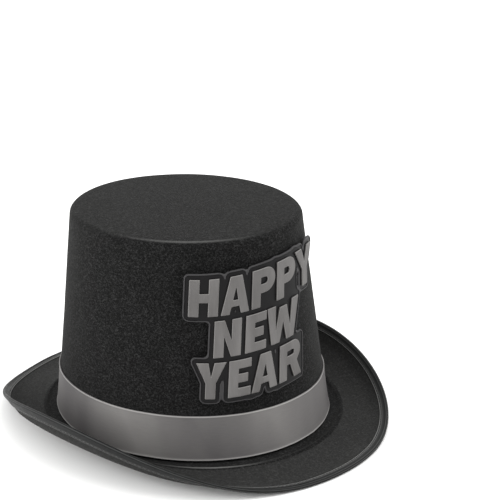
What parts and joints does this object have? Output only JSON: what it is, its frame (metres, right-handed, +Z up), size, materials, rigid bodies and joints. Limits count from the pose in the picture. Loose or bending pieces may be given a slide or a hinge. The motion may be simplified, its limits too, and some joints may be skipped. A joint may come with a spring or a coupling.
{
  "type": "new year party top hat",
  "caption": "Stiff black felt top hat with a curled wired brim, a ribbon band and a bent greeting sign standing on the front of its crown.",
  "frame": {"origin": "on the surface the hat stands on, under the middle of its bounding box", "axes": "+Z up through the crown; the sign and the wearer's face look along -Y; the wearer's right hand is at -X"},
  "size_m": [0.2484, 0.2942, 0.1539],
  "materials": {
    "felt": "pressed polyester felt, matt and slightly hairy",
    "binding": "woven binding tape, matt",
    "band": "silver grey satin, soft sheen",
    "sweatband": "ribbed cotton tape, matt",
    "sign_board": "black coated board, satin",
    "letters": "silver grey foil on board",
    "wire": "drawn steel",
    "glue": "hot-melt glue"
  },
  "bodies": {
    "root": {"crown": "felt", "brim": "felt", "brim_binding": "binding", "brim_wire": "wire", "hat_band": "band", "band_tab": "band", "sweatband": "sweatband", "sign_backing": "sign_board", "letter_row1_h": "letters", "letter_row1_a": "letters", "letter_row1_p1": "letters", "letter_row1_p2": "letters", "letter_row1_y": "letters", "letter_row2_n": "letters", "letter_row2_e": "letters", "letter_row2_w": "letters", "letter_row3_y": "letters", "letter_row3_e": "letters", "letter_row3_a": "letters", "letter_row3_r": "letters", "sign_glue_1": "glue", "sign_glue_2": "glue", "sign_glue_3": "glue", "sign_glue_4": "glue", "sign_glue_5": "glue"}
  },
  "joints": []
}
